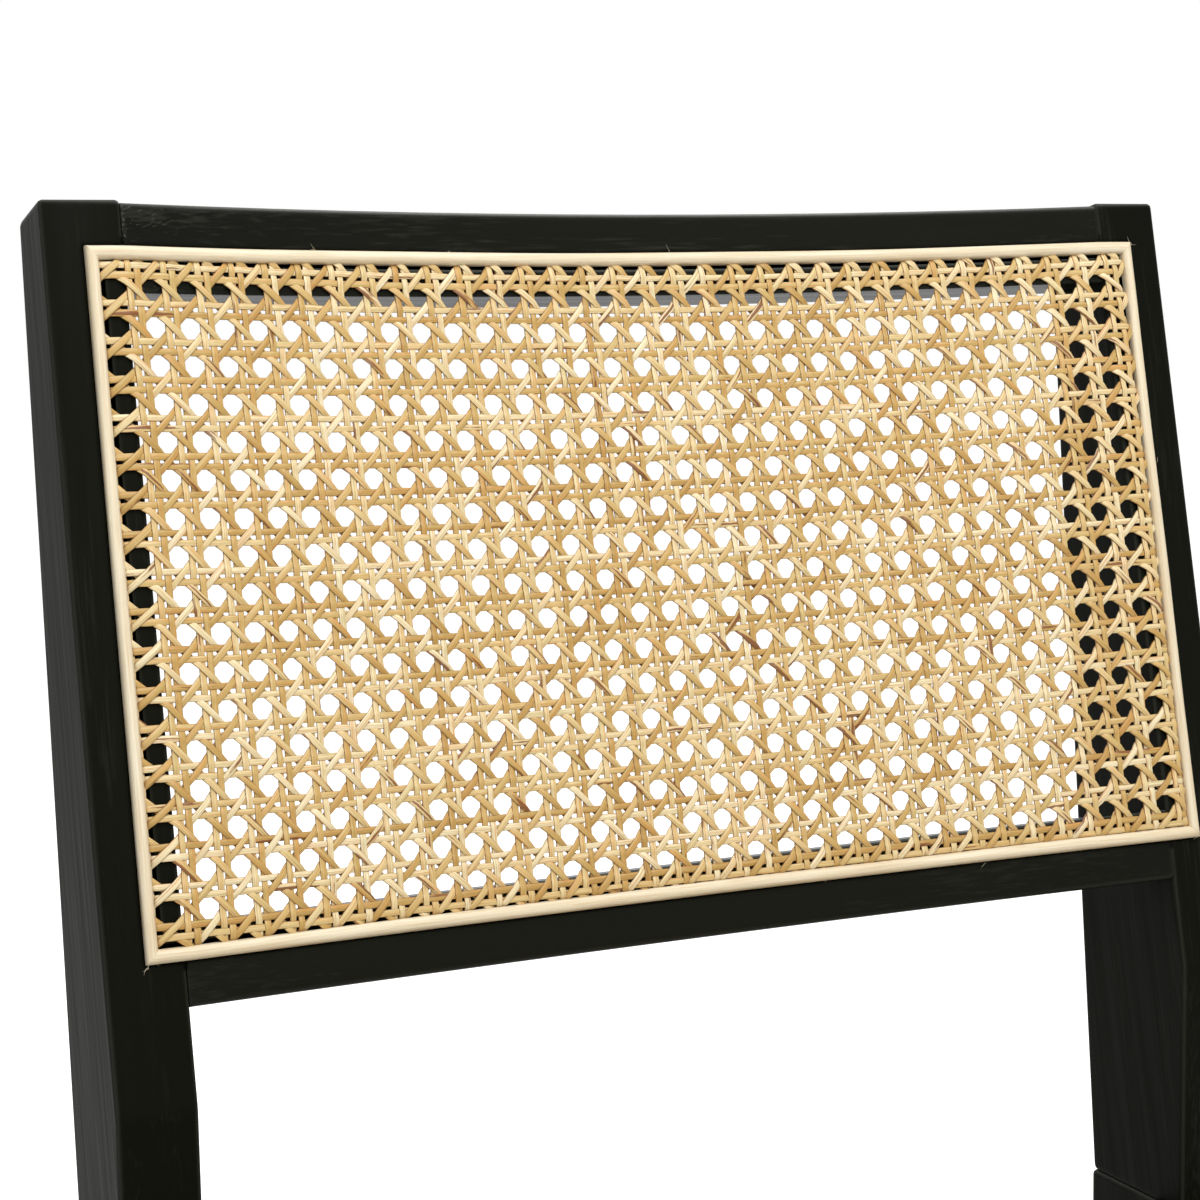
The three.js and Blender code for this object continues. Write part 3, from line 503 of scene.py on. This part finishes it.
class Finish:
    """A material under construction, with short ways to add and join its nodes."""

    def __init__(self, name, roughness, metallic=0.0, specular=0.5):
        self.material = bpy.data.materials.new(name)
        self.material.use_nodes = True
        self.tree = self.material.node_tree
        self.shader = self.tree.nodes["Principled BSDF"]
        self.shader.inputs["Roughness"].default_value = roughness
        self.shader.inputs["Metallic"].default_value = metallic
        self.shader.inputs["Specular IOR Level"].default_value = specular

    def node(self, kind, settings=None, **inputs):
        """A node with its inputs linked or set. _0 is its first input, and so on."""
        made = self.tree.nodes.new(kind)
        for key, value in (settings or {}).items():
            setattr(made, key, value)
        for key, value in inputs.items():
            socket = made.inputs[int(key[1:]) if key[0] == "_" else key.replace("_", " ")]
            if isinstance(value, bpy.types.NodeSocket):
                self.tree.links.new(value, socket)
            else:
                socket.default_value = value
        return made

    def object_places(self, scale=(1, 1, 1), turn=(0, 0, 0)):
        """Object coordinates, turned first and then stretched."""
        places = self.node("ShaderNodeTexCoord").outputs["Object"]
        turned = self.node("ShaderNodeMapping", Vector=places, Rotation=turn)
        return self.node("ShaderNodeMapping", Vector=turned.outputs[0], Scale=scale).outputs[0]

    def strand_places(self):
        """The map along a strand, and across it from strand to strand."""
        return self.node("ShaderNodeUVMap", {"uv_map": "strand"}).outputs["UV"]

    def parts(self, vector):
        """A vector's X, Y and Z."""
        return self.node("ShaderNodeSeparateXYZ", Vector=vector).outputs

    def off_square(self, normal, turn):
        """Nought on faces that are square to the axes turned about X, and one on an arris."""
        square = self.node(
            "ShaderNodeMapping",
            {"vector_type": "VECTOR"},
            Vector=normal,
            Rotation=(-turn, 0, 0),
        )
        parts = self.parts(square.outputs[0])
        x, y, z = (self.maths("ABSOLUTE", parts[axis]) for axis in "XYZ")
        return self.span(self.maths("MAXIMUM", self.maths("MAXIMUM", x, y), z), 0.97, 0.8)

    def off_groove(self):
        """Nought along the edge of the groove round the back's cane, and one away from it."""
        upright = Matrix.Rotation(-BACK_TURN, 3, "X")
        places = self.node(
            "ShaderNodeMapping",
            Vector=self.object_places(),
            Rotation=(-BACK_TURN, 0, 0),
            Location=-(upright @ BACK_PLACE),
        )
        parts = self.parts(places.outputs[0])
        beyond = [
            self.maths("SUBTRACT", self.maths("ABSOLUTE", parts[axis]), half)
            for axis, half in zip("XZ", PANELS["back"]["half"])
        ]
        apart = self.maths("ABSOLUTE", self.maths("MAXIMUM", *beyond))
        return self.span(apart, *GROOVE_EDGE)

    def noise(self, places, detail=3.0, roughness=0.55, distortion=0.0):
        """Noise with one change to each unit of the places."""
        made = self.node(
            "ShaderNodeTexNoise",
            Vector=places,
            Scale=1.0,
            Detail=detail,
            Roughness=roughness,
            Distortion=distortion,
        )
        return made.outputs["Fac"]

    def solid_noise(self, scale, turn=(0, 0, 0), **look):
        """Noise through the solid, with so many changes to the metre along each axis."""
        return self.noise(self.object_places(scale, turn), **look)

    def strand_noise(self, along, across, **look):
        """Noise on the strands, with its scale along them and across them."""
        places = self.node(
            "ShaderNodeMapping", Vector=self.strand_places(), Scale=(along, across, 1)
        )
        return self.noise(places.outputs[0], **look)

    def ramp(self, value, *stops):
        """A colour between stops, each a place and its colour."""
        made = self.node("ShaderNodeValToRGB", Fac=value)
        ramp = made.color_ramp
        while len(ramp.elements) < len(stops):
            ramp.elements.new(0.5)
        for element, (position, colour) in zip(ramp.elements, stops):
            element.position = position
            element.color = colour
        return made.outputs["Color"]

    def span(self, value, low, high, to_low=0.0, to_high=1.0):
        """Where the value lies from low to high, as a place from to_low to to_high."""
        made = self.node("ShaderNodeMapRange", {"clamp": True}, Value=value)
        for index, number in enumerate((low, high, to_low, to_high), 1):
            made.inputs[index].default_value = number
        return made.outputs["Result"]

    def maths(self, operation, a, b=0.0):
        return self.node("ShaderNodeMath", {"operation": operation}, _0=a, _1=b).outputs[0]

    def times(self, a, b):
        return self.maths("MULTIPLY", a, b)

    def mix(self, share, a, b):
        """Colour a, with that share of colour b."""
        return self.node("ShaderNodeMix", {"data_type": "RGBA"}, _0=share, _6=a, _7=b).outputs[2]

    def bump(self, height, strength, distance, under=None):
        inputs = dict(Height=height, Strength=strength, Distance=distance)
        if under is not None:
            inputs["Normal"] = under
        return self.node("ShaderNodeBump", **inputs).outputs["Normal"]

    def done(self, **inputs):
        """The material, with these sockets linked to its shader."""
        for key, socket in inputs.items():
            self.tree.links.new(socket, self.shader.inputs[key.replace("_", " ")])
        return self.material


def srgb(red, green, blue):
    """An opaque colour as read off a screen, 0 to 255, as light."""
    share = [c / 255 for c in (red, green, blue)]
    light = (c / 12.92 if c <= 0.04045 else ((c + 0.055) / 1.055) ** 2.4 for c in share)
    return (*light, 1)


# Black paint worn thin in the pores; arrises lighter from paint worn thin and a painted
# highlight; a brighter painted highlight on arrises that face up. The joint between rail and post
# is darker
WORN_PORES = srgb(72, 72, 65)
THIN_ARRIS_PAINT_AND_HIGHLIGHT = srgb(50, 51, 45)
PAINTED_TOP_HIGHLIGHT = srgb(106, 107, 102)
OPEN_JOINT = srgb(3, 3, 2)

# Cane from its darkest strands to its palest, then what crosses or edges them; the darker edges are
# partly painted shade, and the last is painted shade in the crevices
CANE_TONES = [
    (0.2, srgb(176, 138, 74)),
    (0.36, srgb(202, 168, 100)),
    (0.52, srgb(220, 194, 136)),
    (0.68, srgb(235, 214, 163)),
    (0.86, srgb(247, 235, 198)),
]
WARM_CANE = srgb(216, 156, 86)
GREEN_CANE = srgb(190, 172, 106)
CANE_FIBRE = srgb(176, 132, 76)
CANE_STAIN = srgb(124, 74, 38)
CANE_EDGE_AND_SHADE = srgb(134, 90, 44)
CANE_CREVICE_SHADE = srgb(112, 70, 28)

REED_FIBRE = srgb(206, 176, 130)
REED_LIGHT = srgb(252, 246, 228)
WOOD_LINE = srgb(156, 116, 76)


def shoulder_marks(finish, patches):
    """Masks of a back rail: pale marks by its shoulders, the open joint, how far its pores show
    worn, and how strongly the painted highlight on its top arris shows toward the middle.
    """
    parts = finish.parts(finish.object_places())
    sideways = finish.maths("ABSOLUTE", parts["X"])
    from_shoulder = finish.maths("SUBTRACT", BACK_CLEAR_HALF, sideways)
    left = finish.span(parts["X"], -0.1, 0.1, 0.9, 0.05)
    upper = finish.span(parts["Z"], 0.7, 0.78, 0.1, 1.0)
    cracks = finish.solid_noise((330, 330, 1700), (0, 0.3, 0), detail=1.0)
    near = finish.span(from_shoulder, 0.026, 0.002)
    patchy = finish.times(near, finish.span(patches, 0.42, 0.55))
    dashes = finish.times(finish.span(cracks, 0.63, 0.68), patchy)
    dots = finish.span(finish.solid_noise((900, 900, 900), detail=0.0), 0.52, 0.6)
    seam = finish.times(finish.span(from_shoulder, 0.0013, 0.0008), dots)
    marks = finish.times(finish.maths("MAXIMUM", dashes, seam), finish.times(left, upper))
    open_joint = finish.span(from_shoulder, 0.0009, 0.0005, 0, 0.8)
    top_rail = finish.span(parts["Z"], 0.7, 0.78, 0.5, 1.0)
    # How strongly the painted highlight on the top arris shows, most toward the middle
    highlight_toward_middle = finish.span(sideways, 0.2, 0.09, 0.3, 1.0)
    return marks, open_joint, top_rail, highlight_toward_middle


def painted_wood(
    name,
    turn,
    satin=(0.54, 0.68),
    relief=0.14,
    dark=6,
    top_highlight_share=0.3,
    holds_cane=False,
    joined=False,
):
    """Black paint over open grain, worn thin on the arrises, which also get a painted highlight;
    turn brings the grain onto X.

    satin is its roughness, relief the depth of its pores, dark its grey on a screen, and the
    share given for arrises that face up is the strength of their painted highlight. A piece
    that holds the back's cane reclines and has no lighter arris along the groove, and a joined
    one has marks at its shoulders.
    """
    finish = Finish(name, roughness=satin[1], specular=0.045)
    pores = finish.solid_noise((38, 820, 820), turn, detail=2.0, roughness=0.6)
    patches = finish.solid_noise((6, 60, 60), turn)
    clouds = finish.solid_noise((1.5, 12, 12), turn, detail=2.0)
    grain = finish.solid_noise((9, 300, 300), turn, detail=4.0, distortion=0.3)
    open_grain = finish.span(finish.times(pores, patches), 0.29, 0.42)
    worn = finish.times(open_grain, relief * PORE_WEAR)
    base = finish.ramp(
        clouds,
        (0.3, srgb(dark, dark + 1, dark - 4)),
        (0.7, srgb(dark + 7, dark + 8, dark + 1)),
    )
    if joined:
        marks, open_joint, top_rail, highlight_toward_middle = shoulder_marks(finish, patches)
        worn = finish.maths("MAXIMUM", finish.times(worn, top_rail), marks)
        base = finish.mix(open_joint, base, OPEN_JOINT)
    colour = finish.mix(worn, base, WORN_PORES)
    rounded = finish.node("ShaderNodeBevel", LOOK_SAMPLES, Radius=ARRIS_RADIUS).outputs["Normal"]
    arris = finish.off_square(rounded, BACK_TURN if holds_cane else 0.0)
    if holds_cane:
        arris = finish.times(arris, finish.off_groove())
    # The arrises are lighter: paint worn thin there, and a painted highlight
    thinned_and_highlit = finish.mix(finish.times(arris, ARRIS_THINNING_AND_HIGHLIGHT_SHARE), colour, THIN_ARRIS_PAINT_AND_HIGHLIGHT)
    # A brighter painted highlight on arrises that face up
    upward_highlight = finish.span(finish.parts(rounded)["Z"], 0.5, 0.8, 0, top_highlight_share)
    if joined:
        upward_highlight = finish.times(upward_highlight, highlight_toward_middle)
    top_highlighted = finish.mix(finish.times(arris, upward_highlight), thinned_and_highlit, PAINTED_TOP_HIGHLIGHT)
    roughness = finish.span(grain, 0.3, 0.7, *satin)
    height = finish.maths("SUBTRACT", finish.times(grain, 0.5), open_grain)
    normal = finish.bump(height, strength=relief, distance=0.0002, under=rounded)
    return finish.done(Base_Color=top_highlighted, Roughness=roughness, Normal=normal)


def strand_tone(finish, strand_number):
    """A tone of each strand's own that drifts along it, from nought, dark, to one, pale."""
    place = finish.node(
        "ShaderNodeCombineXYZ", X=strand_number, Y=finish.times(strand_number, 0.37)
    )
    own = finish.node(
        "ShaderNodeTexWhiteNoise", {"noise_dimensions": "2D"}, Vector=place.outputs[0]
    )
    drift = finish.strand_noise(1.6, 9, detail=2.0)
    own_tone = finish.span(own.outputs["Value"], 0, 1, -0.06, 0.56)
    return finish.maths("ADD", own_tone, finish.times(drift, 0.6))


def stained_places(finish, strand_number):
    """Short dark stains, more of them on falling slants and in a streak across the back."""
    place = finish.strand_noise(3.1, 1.31, detail=0.0)
    edge = finish.strand_noise(30, 5, detail=2.0)
    at = finish.parts(finish.object_places())
    height = finish.maths("SUBTRACT", at["Z"], STREAK_HEIGHT)
    beside = finish.maths("ADD", height, finish.times(at["X"], STREAK_FALL))
    streak = finish.span(finish.maths("ABSOLUTE", beside), 0.034, 0.008, 0, 0.06)
    falling = finish.span(strand_number, FIRST_FALLING - 1, FIRST_FALLING, 0, 0.05)
    place = finish.maths("ADD", finish.maths("ADD", place, falling), streak)
    return finish.span(finish.maths("ADD", place, finish.times(edge, 0.14)), 0.825, 0.865)


def woven_cane():
    """Natural cane: each strand has its own tone, with fibres, joints and dark stains along it, and
    painted shade on its edges and in the crevices.
    """
    finish = Finish("natural cane", roughness=0.5, specular=0.35)
    across = finish.parts(finish.strand_places())["Y"]
    strand_number = finish.maths("FLOOR", across)
    colour = finish.ramp(strand_tone(finish, strand_number), *CANE_TONES)
    hue = finish.strand_noise(2.3, 5.1, detail=1.0)
    warm = finish.mix(finish.span(hue, 0.53, 0.68, 0, 0.75), colour, WARM_CANE)
    green = finish.mix(finish.span(hue, 0.46, 0.33, 0, 0.6), warm, GREEN_CANE)
    streaks = finish.strand_noise(7, 6.5, detail=4.0, roughness=0.7)
    fibred = finish.mix(finish.span(streaks, 0.42, 0.7, 0, 0.45), green, CANE_FIBRE)
    stain = stained_places(finish, strand_number)
    stained = finish.mix(finish.times(stain, STAIN_DEPTH), fibred, CANE_STAIN)
    off_middle = finish.maths("SUBTRACT", finish.maths("FRACT", across), 0.5)
    # Darker strand edges: partly the cane's own edge colour, partly painted shade that rounds the
    # strands
    edge_and_shade = finish.span(finish.maths("ABSOLUTE", off_middle), 0.36, 0.44, 0, 0.7)
    edge_shaded = finish.mix(edge_and_shade, stained, CANE_EDGE_AND_SHADE)
    # Painted shade in the crevices of the weave, darker where the strands crowd round
    open_sky = finish.node("ShaderNodeAmbientOcclusion", LOOK_SAMPLES, Distance=CREVICE_SHADE_REACH)
    crevice_shade = finish.span(open_sky.outputs["AO"], 0.8, 0.3, 0, 0.95)
    crevice_shaded = finish.mix(crevice_shade, edge_shaded, CANE_CREVICE_SHADE)
    fibres = finish.strand_noise(9, 16, detail=4.0, roughness=0.6)
    normal = finish.bump(fibres, strength=0.3, distance=0.00012)
    roughness = finish.span(streaks, 0.3, 0.7, 0.34, 0.55)
    return finish.done(Base_Color=crevice_shaded, Roughness=roughness, Normal=normal)


def reed_spline():
    """Pale reed with long fibres."""
    finish = Finish("pale reed", roughness=0.48, specular=0.35)
    long_fibres = finish.strand_noise(3.2, 9, detail=4.0, roughness=0.65)
    fine_fibres = finish.strand_noise(11, 26, roughness=0.7)
    broad = finish.strand_noise(1.1, 2, detail=1.0)
    pale = finish.ramp(broad, (0.35, srgb(228, 212, 180)), (0.65, srgb(238, 227, 200)))
    fibred = finish.mix(finish.span(long_fibres, 0.45, 0.7, 0, 0.65), pale, REED_FIBRE)
    lit = finish.mix(finish.span(fine_fibres, 0.55, 0.75, 0, 0.35), fibred, REED_LIGHT)
    relief = finish.maths("ADD", long_fibres, fine_fibres)
    normal = finish.bump(relief, strength=0.3, distance=0.00015)
    roughness = finish.span(long_fibres, 0.3, 0.7, 0.42, 0.58)
    return finish.done(Base_Color=lit, Roughness=roughness, Normal=normal)


def plain_wood():
    """Unpainted hardwood of the corner blocks and dowels."""
    finish = Finish("plain hardwood", roughness=0.68, specular=0.3)
    grain = finish.solid_noise((14, 160, 160), detail=4.0, distortion=0.4)
    broad = finish.solid_noise((4, 30, 30), detail=2.0)
    colour = finish.ramp(broad, (0.3, srgb(186, 148, 104)), (0.7, srgb(205, 170, 124)))
    lined = finish.mix(finish.span(grain, 0.4, 0.68, 0, 0.55), colour, WOOD_LINE)
    normal = finish.bump(grain, strength=0.3, distance=0.0003)
    roughness = finish.span(grain, 0.3, 0.7, 0.6, 0.78)
    return finish.done(Base_Color=lined, Roughness=roughness, Normal=normal)


def bright_metal(name, dark, light):
    """Blotchy metal of the screws, bolts and inserts."""
    finish = Finish(name, roughness=0.35, metallic=1.0)
    blotches = finish.solid_noise((260, 260, 260))
    colour = finish.ramp(blotches, (0.35, dark), (0.65, light))
    roughness = finish.span(blotches, 0.3, 0.7, 0.28, 0.46)
    relief = finish.solid_noise((1400, 1400, 1400))
    normal = finish.bump(relief, strength=0.15, distance=0.00005)
    return finish.done(Base_Color=colour, Roughness=roughness, Normal=normal)


def moulded_nylon():
    """Dark nylon of the glides, with a fine moulded grain."""
    finish = Finish("moulded nylon", roughness=0.55, specular=0.4)
    speckle = finish.solid_noise((900, 900, 900), detail=2.0)
    colour = finish.ramp(speckle, (0.3, srgb(24, 24, 24)), (0.7, srgb(34, 34, 33)))
    roughness = finish.span(speckle, 0.3, 0.7, 0.48, 0.66)
    normal = finish.bump(speckle, strength=0.25, distance=0.00008)
    return finish.done(Base_Color=colour, Roughness=roughness, Normal=normal)


CANE = woven_cane()
SPLINE = reed_spline()
PLAIN_WOOD = plain_wood()
STEEL = bright_metal("zinc-plated steel", srgb(150, 152, 154), srgb(184, 186, 188))
BRASS = bright_metal("plain brass", srgb(176, 148, 84), srgb(200, 172, 104))
NYLON = moulded_nylon()
QUARTER = math.pi / 2
UNTURNED = (0, 0, 0)
ALONG_X = painted_wood("black paint, grain across the chair", UNTURNED)
RAIL = painted_wood(
    "black paint, grain along the back rails",
    UNTURNED,
    satin=(0.24, 0.34),
    relief=0.3,
    dark=19,
    top_highlight_share=1.0,
    holds_cane=True,
    joined=True,
)
ALONG_Y = painted_wood("black paint, grain front to back", (0, 0, QUARTER))
UPRIGHT = painted_wood("black paint, grain up the legs", (0, QUARTER, 0))
RECLINED = painted_wood(
    "black paint, grain up the posts", (-BACK_TURN, QUARTER, 0), holds_cane=True
)

# Assembly

for panel_name in PANELS:
    weave(panel_name)

# Panel, whether it runs across, which side it is on, and the node that it replaces
SPLINES = [
    ("back", True, 1, "back_spline_top"),
    ("back", True, -1, "back_spline_bottom"),
    ("back", False, 1, "back_spline_right"),
    ("back", False, -1, "back_spline_left"),
    ("seat", True, -1, "seat_spline_front"),
    ("seat", True, 1, "seat_spline_rear"),
    ("seat", False, 1, "seat_spline_right"),
    ("seat", False, -1, "seat_spline_left"),
]
for number, (panel_name, across, side, node) in enumerate(SPLINES):
    spline(panel_name, across, side, node, number)

loose_hairs(
    "back_spline_fibres",
    [
        (-0.2152, 0.1218, 1),
        (0.2152, 0.1218, 3),
        (-0.2152, -0.1218, 4),
        (0.2152, -0.1218, 3),
        (-0.131, 0.1222, 2),
        (-0.078, 0.1222, 1),
        (0.012, 0.1222, 2),
        (-0.165, -0.1222, 2),
        (0.05, -0.1215, 1),
        (0.12, -0.1222, 1),
        (-0.2155, -0.01, 1),
        (0.2155, 0.03, 1),
    ],
    number=len(SPLINES),
)

PAINTED = {
    "top_back_rail": RAIL,
    "bottom_back_rail": RAIL,
    "front_apron": ALONG_X,
    "rear_apron": ALONG_X,
    "front_seat_rail": ALONG_X,
    "rear_seat_rail": ALONG_X,
}
for side in ("right", "left"):
    PAINTED[f"back_post_{side}"] = RECLINED
    PAINTED[f"rear_leg_{side}"] = UPRIGHT
    PAINTED[f"front_leg_{side}"] = UPRIGHT
    PAINTED[f"side_apron_{side}"] = ALONG_Y
    PAINTED[f"side_seat_rail_{side}"] = ALONG_Y
for node, material in PAINTED.items():
    eased_copy(node, material, "painted_wood", tight=material is RAIL)

# Starts of the fittings' names, with their finish and its slot in the record
FITTINGS = {
    "corner_block": (PLAIN_WOOD, "raw_wood"),
    "post_dowel": (PLAIN_WOOD, "raw_wood"),
    "post_bolt_insert": (BRASS, "brass"),
    "post_bolt": (STEEL, "steel"),
    "block_screw": (STEEL, "steel"),
    "front_glide": (NYLON, "nylon"),
    "rear_glide": (NYLON, "nylon"),
}
for node in nodes:
    kind = next((kind for kind in FITTINGS if node.startswith(kind)), None)
    if kind:
        eased_copy(node, *FITTINGS[kind])

# Studio

# Rays to which floor and world are white: seen straight, in a gloss or through glass
LOOKING = ("Is Camera Ray", "Is Glossy Ray", "Is Transmission Ray")
WHITE = (1, 1, 1, 1)
FLOOR_PAINT = (0.82, 0.82, 0.82, 1)
FLOOR_REACH = 9
# From how near to how far the floor runs out into white, and how strongly it glows there
FADE_FROM = (0.4, 1.6)
FLOOR_GLOW = (0.45, 0.9)
WORLD_LIGHT = 0.25
BACK_MIDDLE = (0.0, 0.2, 0.65)


def looked_at(tree):
    """One for rays that see the background, and nought for those that light the chair."""
    rays = tree.nodes.new("ShaderNodeLightPath")
    total = rays.outputs[LOOKING[0]]
    for kind in LOOKING[1:]:
        either = tree.nodes.new("ShaderNodeMath")
        either.operation = "MAXIMUM"
        tree.links.new(total, either.inputs[0])
        tree.links.new(rays.outputs[kind], either.inputs[1])
        total = either.outputs[0]
    return total


def studio_floor():
    """A pale floor that keeps the chair's shadow near it and runs out into white."""
    bm = bmesh.new()
    bmesh.ops.create_grid(bm, x_segments=1, y_segments=1, size=FLOOR_REACH)
    mesh = bpy.data.meshes.new("studio_floor")
    bm.to_mesh(mesh)
    bm.free()
    floor = bpy.data.objects.new("studio_floor", mesh)
    bpy.context.scene.collection.objects.link(floor)
    material = bpy.data.materials.new("pale floor")
    material.use_nodes = True
    tree = material.node_tree
    paint = tree.nodes["Principled BSDF"]
    paint.inputs["Base Color"].default_value = FLOOR_PAINT
    paint.inputs["Roughness"].default_value = 0.9
    paint.inputs["Specular IOR Level"].default_value = 0.0
    paint.inputs["Emission Color"].default_value = WHITE
    places = tree.nodes.new("ShaderNodeTexCoord")
    away = tree.nodes.new("ShaderNodeVectorMath")
    away.operation = "LENGTH"
    fade = tree.nodes.new("ShaderNodeMapRange")
    fade.interpolation_type = "SMOOTHSTEP"
    fade.inputs["From Min"].default_value, fade.inputs["From Max"].default_value = FADE_FROM
    fade.inputs["To Min"].default_value, fade.inputs["To Max"].default_value = FLOOR_GLOW
    glow = tree.nodes.new("ShaderNodeMath")
    glow.operation = "MULTIPLY"
    tree.links.new(places.outputs["Object"], away.inputs[0])
    tree.links.new(away.outputs["Value"], fade.inputs["Value"])
    tree.links.new(fade.outputs["Result"], glow.inputs[0])
    tree.links.new(looked_at(tree), glow.inputs[1])
    tree.links.new(glow.outputs[0], paint.inputs["Emission Strength"])
    mesh.materials.append(material)


def studio_world():
    """Even light all round, seen and mirrored as white."""
    world = bpy.data.worlds.new("studio")
    bpy.context.scene.world = world
    world.use_nodes = True
    tree = world.node_tree
    background = tree.nodes["Background"]
    background.inputs["Color"].default_value = WHITE
    strength = tree.nodes.new("ShaderNodeMapRange")
    strength.inputs["To Min"].default_value = WORLD_LIGHT
    strength.inputs["To Max"].default_value = 1.0
    tree.links.new(looked_at(tree), strength.inputs["Value"])
    tree.links.new(strength.outputs["Result"], background.inputs["Strength"])


def soft_lamp(name, place, size, power):
    """A square lamp that faces the middle of the back."""
    lamp = bpy.data.lights.new(name, "AREA")
    lamp.shape = "SQUARE"
    lamp.size = size
    lamp.energy = power
    holder = bpy.data.objects.new(name, lamp)
    holder.location = place
    aim = Vector(BACK_MIDDLE) - Vector(place)
    holder.rotation_euler = aim.to_track_quat("-Z", "Y").to_euler()
    bpy.context.scene.collection.objects.link(holder)


studio_floor()
studio_world()
soft_lamp("key lamp", (-0.5, -1.95, 2.3), size=0.8, power=35)
soft_lamp("top lamp", (0.2, -0.7, 2.4), size=0.9, power=22)
soft_lamp("rim lamp", (0.8, 1.1, 2.4), size=1.0, power=13)
soft_lamp("rear lamp", (-0.9, 2.1, 1.7), size=1.2, power=14)

# The camera's place, length and turns come from the openings and edges in the photograph
camera = bpy.data.cameras.new("camera")
camera.lens = 75.35
camera.sensor_width = 36
camera_holder = bpy.data.objects.new("camera", camera)
camera_holder.location = (-0.41293, -0.63551, 0.83995)
yaw, pitch, roll = math.radians(24.479), math.radians(-9.433), math.radians(0.421)
ahead, upward_highlight = math.cos(pitch), math.sin(pitch)
sight = Vector((math.sin(yaw) * ahead, math.cos(yaw) * ahead, upward_highlight))
level_view = sight.to_track_quat("-Z", "Y").to_matrix()
camera_holder.rotation_euler = (level_view @ Matrix.Rotation(roll, 3, "Z")).to_euler()
bpy.context.scene.collection.objects.link(camera_holder)
bpy.context.scene.camera = camera_holder
bpy.context.scene.view_settings.view_transform = "Standard"
